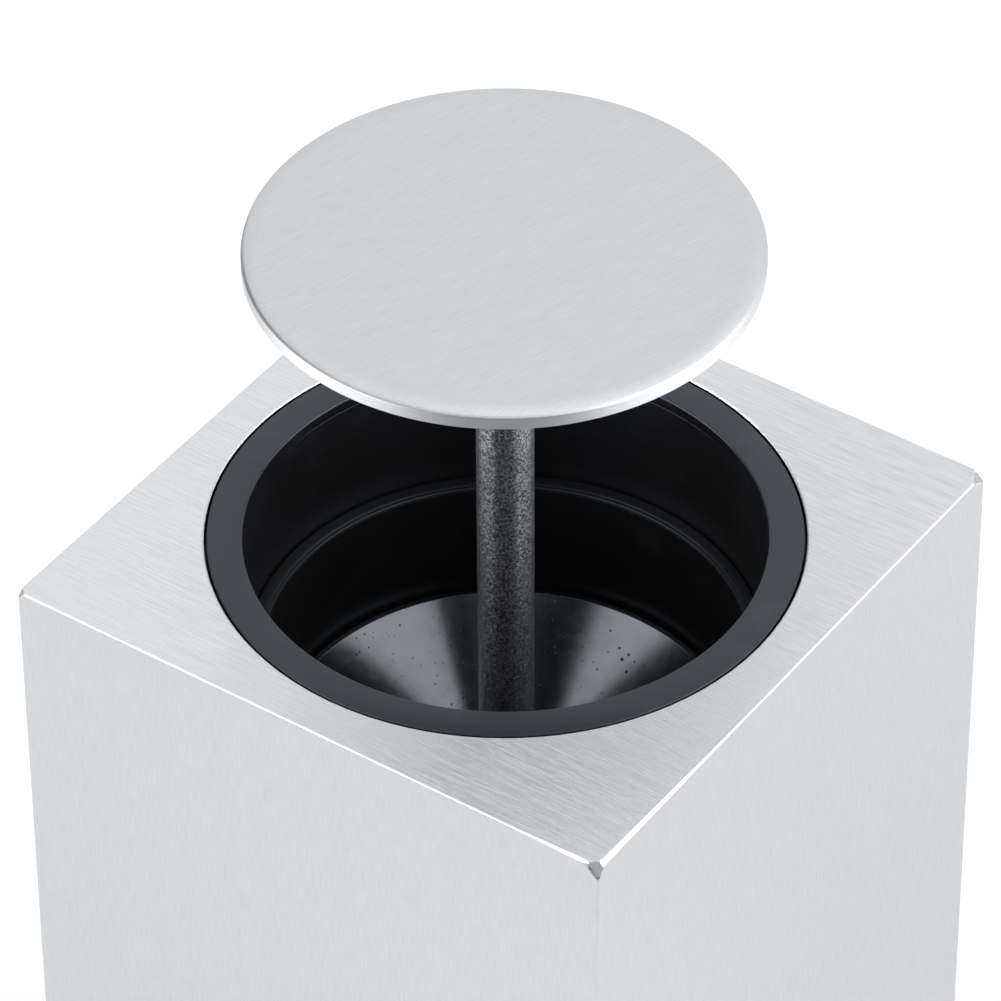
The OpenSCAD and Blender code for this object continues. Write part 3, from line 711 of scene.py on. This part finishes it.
# %% Tongue of the cup
def rounded_block(low, high, radius, way, steps=6):
    """Block with rounded edges. A point of a gridded cube goes to the nearest corner of the block shrunk by
    the radius, or to the middle of an edge or face where it lies on a centre line. It moves out from there
    by the radius along its own direction, and then all is turned about Z by way."""
    centred = 0.02
    low, high = np.asarray(low, float), np.asarray(high, float)
    a = np.pi / 4 * np.linspace(-1, 1, 2 * steps + 1)
    u, v = (np.tan(x).ravel() for x in np.meshgrid(a, a, indexing="ij"))
    sides = [np.column_stack([np.full_like(u, s), u * s, v]) for s in (1, -1)]
    d = np.concatenate([np.roll(side, k, 1) for k in range(3) for side in sides])
    middle, reach = (low + high) / 2, (high - low) / 2 - radius
    core = np.where(np.abs(d) > centred, np.sign(d), 0) * reach
    p = middle + core + radius * d / np.linalg.norm(d, axis=1, keepdims=True)
    c, s = np.cos(way), np.sin(way)
    p = np.column_stack([c * p[:, 0] - s * p[:, 1], s * p[:, 0] + c * p[:, 1], p[:, 2]])
    one = grid_faces(2 * steps + 1, 2 * steps + 1, False, False)
    return p, np.concatenate([one + k * len(u) for k in range(6)])[:, ::-1]


tongue_half, tongue_root, plate_face, tongue_round = 5 * mm, stop_radius - 1 * mm, 31.25 * mm, 0.25 * mm
tongue_low, tongue_high = (tongue_root, -tongue_half, stop_foot), (plate_face, tongue_half, stop_top)
tongue_block = rounded_block(tongue_low, tongue_high, tongue_round, slot_way)
tongue_piece = make_piece("cup_tongue", *tongue_block, "plunger", "lifter", "cup_plastic", sharp=40)
wear(tongue_piece, cup_abs)

# %% [markdown]
# ## The lift spring
# The spring is one wire wound into a helix, with close turns at both ends. When the lid goes down the real
# spring shortens evenly.


# %% Lift spring
def coil(radius, wire, low, high, turns, dead_pitch, per_turn=48, sides=12):
    """Tube along a helix. After t turns the centre is at angle 2 pi t, and its height rises by dead_pitch in
    the first and last turn and evenly between. A circle of the wire's radius is carried along it, and a
    point closes each end."""
    t = np.arange(turns * per_turn + 1) / per_turn
    live = (high - low - 2 * dead_pitch) / (turns - 2)
    z = low + dead_pitch * np.minimum(t, 1) + live * np.clip(t - 1, 0, turns - 2)
    z += dead_pitch * np.maximum(t - turns + 1, 0)
    b = np.linspace(0, 2 * np.pi, sides, endpoint=False)
    out = radius + wire * np.cos(b)
    a = 2 * np.pi * t[:, None]
    points = np.stack([out * np.cos(a), out * np.sin(a), z[:, None] + wire * np.sin(b)], -1).reshape(-1, 3)
    ends = np.column_stack([radius * np.cos(a[[0, -1], 0]), radius * np.sin(a[[0, -1], 0]), z[[0, -1]]])
    faces = grid_faces(len(t), sides, False, True)[:, ::-1].tolist()
    k = np.arange(sides)
    n, last, pole = (k + 1) % sides, (len(t) - 1) * sides, len(points)
    first_cap = np.stack([k, n, np.full(sides, pole)], -1).tolist()
    last_cap = np.stack([last + n, last + k, np.full(sides, pole + 1)], -1).tolist()
    return np.concatenate([points, ends]), faces + first_cap + last_cap


spring_lo, spring_hi = (corner.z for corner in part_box("lift_spring"))
spring_turns, dead_pitch, travel = 10, 1.9 * mm, 40 * mm
wire_low, wire_high = spring_lo + wire_radius, spring_hi - wire_radius
spring_coil = coil(spring_radius, wire_radius, wire_low, wire_high, spring_turns, dead_pitch)
spring_piece = make_piece("lift_coil", *spring_coil, "body", "lift_spring", "steel", sharp=60)
wear(spring_piece, steel)
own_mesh(spring_piece)

# %% [markdown]
# ## Feet
# Four rubber pucks sit in shallow pockets under the base. Each is a turned outline with a soft lower edge.

# %% Feet
feet_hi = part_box("rubber_feet")[1]
foot_radius = 4.5 * mm
foot_at = feet_hi.x - foot_radius
foot_outline = filleted([[0, 0], [foot_radius, 0], [foot_radius, feet_hi.z], [0, feet_hi.z]],
                        [0, 0.5 * mm, 0.1 * mm, 0], False)
foot_points, foot_faces = turned_solid(foot_outline, 64)
foot_places = foot_at * np.array([[1, 1, 0], [-1, 1, 0], [-1, -1, 0], [1, -1, 0]])
feet_points = (foot_places[:, None] + foot_points).reshape(-1, 3)
feet_faces = [[i + k * len(foot_points) for i in face] for k in range(4) for face in foot_faces]
feet_piece = make_piece("feet", feet_points, feet_faces, "body", "rubber_feet", "rubber")
wear(feet_piece, foot_rubber)

# %% [markdown]
# ## The pieces inside
# The base, the latch and the screws keep the meshes of their solids, because they hardly show. They still
# get the finish that such pieces have.

# %% Finish of the pieces inside
inside = [
    (base_abs, ["base_plate", "cam_plate"]),
    (steel, ["base_screws", "pivot_pin", "pivot_clip", "latch_arm", "latch_peg", "lid_stud", "lifter_washer",
             "lifter_screw", "cam_screws"]),
    (cut_aluminium, ["corner_posts"]),
]
for finish, nodes in inside:
    for node in nodes:
        wear(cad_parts[node], finish)
    print(finish.name, "on", *nodes)

# %% [markdown]
# ## Camera
# The photograph was taken from above with a long lens. Its angles and distance come from fitting the
# four top edges, the upright edges, the ring and the lid of a 70 mm box to the picture.

# %% Camera
image_width, sensor_mm, focal_px = 1001, 36, 6800
yaw, pitch, camera_roll = np.radians([34.942, 40.912, -0.325])
aim_right, aim_up, distance = 0.51 * mm, -3.13 * mm, 683.7 * mm
back = np.array([np.sin(yaw) * np.cos(pitch), -np.cos(yaw) * np.cos(pitch), np.sin(pitch)])
right = np.array([np.cos(yaw), np.sin(yaw), 0])
up = np.cross(back, right)
view_right = np.cos(camera_roll) * right + np.sin(camera_roll) * up
view_up = np.cos(camera_roll) * up - np.sin(camera_roll) * right


def placed(name, data, axes, at):
    """Object in the scene whose own X, Y and Z lie along three axes, at a place."""
    thing = bpy.data.objects.new(name, data)
    matrix = np.eye(4)
    matrix[:3, :3], matrix[:3, 3] = np.column_stack(axes), at
    thing.matrix_world = Matrix(matrix.tolist())
    bpy.context.scene.collection.objects.link(thing)
    return thing


eye = np.column_stack([view_right, view_up, back]) @ np.array([-aim_right, -aim_up, distance])
eye = eye + np.array([0, 0, box_top])
lens = bpy.data.cameras.new("camera")
lens.sensor_width = sensor_mm
lens.lens = focal_px * sensor_mm / image_width
lens.clip_start, lens.clip_end = 0.01, 20
bpy.context.scene.camera = placed("camera", lens, (view_right, view_up, back), eye)
print("camera at", (eye / mm).round(1), "mm, lens %.1f mm" % lens.lens)

# %% [markdown]
# ## Table
# The object stands on a plain white table, as for a catalogue picture. The table glows a little for the
# camera and in mirrored light, so that it shows white and still keeps the object's shadow. It ends a
# little way in front of the box, so that the walls mirror the dark side of the room beyond it.

# %% Table
table_front, table_far, table_glow = 0.19, 3.0, 0.45
table_edge = np.array([[-table_far, -table_front], [table_far, -table_front], [table_far, table_far],
                       [-table_far, table_far]])
table_turn = np.array([[np.cos(yaw), -np.sin(yaw)], [np.sin(yaw), np.cos(yaw)]])
table = bpy.data.meshes.new("table")
table.from_pydata(np.column_stack([table_edge @ table_turn.T, np.zeros(4)]).tolist(), [], [(0, 1, 2, 3)])
table_piece = bpy.data.objects.new("table", table)
bpy.context.scene.collection.objects.link(table_piece)
table_white, tree, shader = new_finish("matt white table")
rays = add(tree, "ShaderNodeLightPath").outputs
seen = add(tree, "ShaderNodeMath", {0: rays["Is Camera Ray"], 1: rays["Is Glossy Ray"]}).outputs[0]
seen = add(tree, "ShaderNodeMath", {0: seen, 1: rays["Is Transmission Ray"]}).outputs[0]
glow = add(tree, "ShaderNodeMath", {0: seen, 1: table_glow}, operation="MULTIPLY").outputs[0]
fill(tree, shader, {
    "Base Color": linear("#b8b8b8"), "Roughness": 0.9, "Emission Color": linear("#ffffff"),
    "Emission Strength": glow})
wear(table_piece, table_white)
print("table ends %.0f mm in front of the box's middle" % (table_front / mm))

# %% [markdown]
# ## Soft boxes
# Two upright soft boxes stand at the sides. The cup's floor mirrors them as two bright fans with a dark
# gap between, where the camera stood, and the rod draws them out into stripes.


# %% Soft boxes
def soft_box(name, near_turn, far_turn, low, high, radiance, far=1.0):
    """Upright area light at a distance from the axis, between two azimuths in degrees from the camera's and
    two heights. A flat panel of radiance L and area A gives off pi A L watts."""
    azimuth = yaw + np.radians((near_turn + far_turn) / 2)
    width, tall = 2 * far * np.tan(np.radians(abs(far_turn - near_turn) / 2)), high - low
    lamp = bpy.data.lights.new(name, "AREA")
    lamp.shape, lamp.size, lamp.size_y = "RECTANGLE", width, tall
    lamp.energy = np.pi * width * tall * radiance
    along = np.array([np.cos(azimuth), np.sin(azimuth), 0])
    out = np.array([np.sin(azimuth), -np.cos(azimuth), 0])
    upward = np.array([0, 0, 1])
    at = out * far + upward * (low + high) / 2
    placed(name, lamp, (along, upward, out), at)
    print(name, "at", at.round(2), "gives %.1f W" % lamp.energy)


soft_box("soft_box_right", near_turn=38, far_turn=104, low=0.05, high=1.5, radiance=3.9)
soft_box("soft_box_left", near_turn=-42, far_turn=-102, low=0.05, high=1.25, radiance=3.9)

# %% [markdown]
# ## The room
# Behind and over the object hangs a bright sweep of paper, brightest overhead, and the camera's side of
# the room is dark. A dark patch at the back left stands for a flag beside the sweep. Metal mirrors this
# room, which gives the lid and the top their shading. The camera itself sees plain white.


# %% Room
def dark_patch(tree, direction, middle, spread, depth):
    """Share of light left in a direction: depth inside an oval about the middle direction and one outside
    it, with a smooth edge. The distance is the length of the offset divided by the spread on each axis."""
    scale = tuple(1 / w for w in spread)
    shift = tuple(-m * k for m, k in zip(middle, scale))
    offset = add(tree, "ShaderNodeMapping", {"Vector": direction, "Scale": scale, "Location": shift})
    far = add(tree, "ShaderNodeVectorMath", {0: offset.outputs[0]}, operation="LENGTH").outputs["Value"]
    return add(tree, "ShaderNodeMapRange", {
        "Value": far, "From Min": 0.85, "From Max": 1.25, "To Min": depth, "To Max": 1.0},
        interpolation_type="SMOOTHSTEP").outputs[0]


world = bpy.data.worlds.new("studio")
bpy.context.scene.world = world
world.use_nodes = True
tree = world.node_tree
tree.nodes.clear()
white = linear("#ffffff")
sky = add(tree, "ShaderNodeTexCoord").outputs["Generated"]
way = add(tree, "ShaderNodeVectorRotate", {"Vector": sky, "Angle": -yaw}, rotation_type="Z_AXIS").outputs[0]
sweep_middle = (0, 0.766, 0.643)
lean = add(tree, "ShaderNodeVectorMath", {0: way, 1: sweep_middle}, operation="DOT_PRODUCT").outputs["Value"]
sweep = add(tree, "ShaderNodeMapRange", {
    "Value": lean, "From Min": 0.15, "From Max": 0.55, "To Min": 0.07, "To Max": 1.0},
    interpolation_type="SMOOTHSTEP").outputs[0]
height = add(tree, "ShaderNodeSeparateXYZ", {"Vector": way}).outputs["Z"]
ceiling = add(tree, "ShaderNodeMapRange", {
    "Value": height, "From Min": 0.7, "From Max": 1.0, "To Min": 1.0, "To Max": 1.3},
    interpolation_type="SMOOTHSTEP").outputs[0]
flag = dark_patch(tree, way, middle=(-0.72, 0.45, 0.5), spread=(0.25, 0.45, 0.45), depth=0.15)
level = add(tree, "ShaderNodeMath", {0: sweep, 1: flag}, operation="MULTIPLY").outputs[0]
level = add(tree, "ShaderNodeMath", {0: level, 1: ceiling}, operation="MULTIPLY").outputs[0]
room = add(tree, "ShaderNodeBackground", {"Color": white, "Strength": level}).outputs[0]
paper = add(tree, "ShaderNodeBackground", {"Color": white, "Strength": 1.0}).outputs[0]
rays = add(tree, "ShaderNodeLightPath").outputs
seen = add(tree, "ShaderNodeMath", {0: rays["Is Camera Ray"], 1: rays["Is Transmission Ray"]}).outputs[0]
mixed = add(tree, "ShaderNodeMixShader", {0: seen, 1: room, 2: paper}).outputs[0]
add(tree, "ShaderNodeOutputWorld", {"Surface": mixed})
bpy.context.scene.view_settings.view_transform = "Standard"
print("world of", len(tree.nodes), "nodes")
